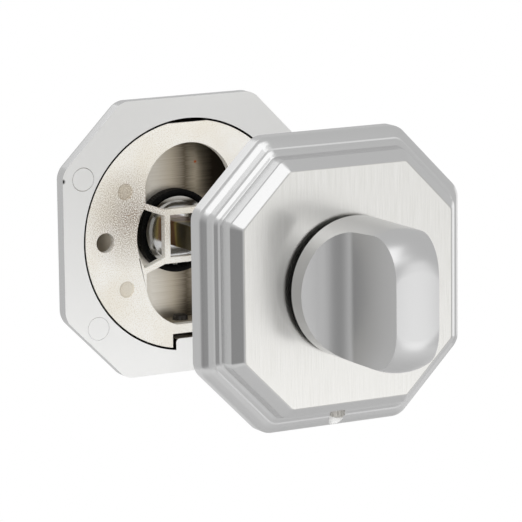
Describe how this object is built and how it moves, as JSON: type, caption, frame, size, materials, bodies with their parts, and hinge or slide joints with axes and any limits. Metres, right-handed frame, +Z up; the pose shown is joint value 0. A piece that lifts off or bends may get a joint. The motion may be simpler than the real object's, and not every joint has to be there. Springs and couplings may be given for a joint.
{
  "type": "bathroom thumb turn lock",
  "caption": "Thumb turn and emergency release on octagonal stepped roses, joined by a square spindle through the door.",
  "frame": {"origin": "centre of the front rose's back face, on the spindle's line, where the rose meets the door", "axes": "+Z up the door, +Y along the spindle from the thumb turn to the release, +X to the right as seen from the thumb turn's side"},
  "size_m": [0.055, 0.1023, 0.055],
  "materials": {
    "satin_chrome": "satin, fine vertical grain on the face",
    "satin_chrome_turn": "satin",
    "nickel_plated_die_cast": "as cast, warm grey nickel plate",
    "black_nylon": "moulded, matt",
    "spring_steel": "bright",
    "black_steel": "black oxide",
    "yellow_zinc_plated_steel": "yellow passivated zinc"
  },
  "bodies": {
    "front_rose": {"front_cover_rose": "satin_chrome", "front_mounting_plate": "nickel_plated_die_cast", "front_hub_bush": "black_nylon", "front_thrust_washer": "black_nylon", "front_grub_screw": "black_steel"},
    "turn": {"thumb_turn": "satin_chrome_turn", "front_circlip": "spring_steel", "front_spring_washer": "spring_steel"},
    "rear_rose": {"rear_cover_rose": "satin_chrome", "rear_mounting_plate": "nickel_plated_die_cast", "rear_hub_bush": "black_nylon", "rear_thrust_washer": "black_nylon", "rear_grub_screw": "black_steel"},
    "release": {"release_button": "satin_chrome_turn", "rear_circlip": "spring_steel", "rear_spring_washer": "spring_steel", "spindle": "yellow_zinc_plated_steel"}
  },
  "joints": [
    {"name": "turn_spin", "type": "hinge", "parent": "front_rose", "child": "turn", "pos_m": [0, -0.0096, 0], "axis": [0, 1, 0], "range_deg": [0, 90]},
    {"name": "door_thickness_slide", "type": "slide", "parent": "front_rose", "child": "rear_rose", "axis": [0, 1, 0], "range_m": [-0.013, 0.002]},
    {"name": "release_spin", "type": "hinge", "parent": "rear_rose", "child": "release", "pos_m": [0, 0.0626, 0], "axis": [0, 1, 0], "range_deg": [0, 90]}
  ],
  "couplings": [
    {"joint": "release_spin", "follows": "turn_spin", "ratio": 1}
  ]
}
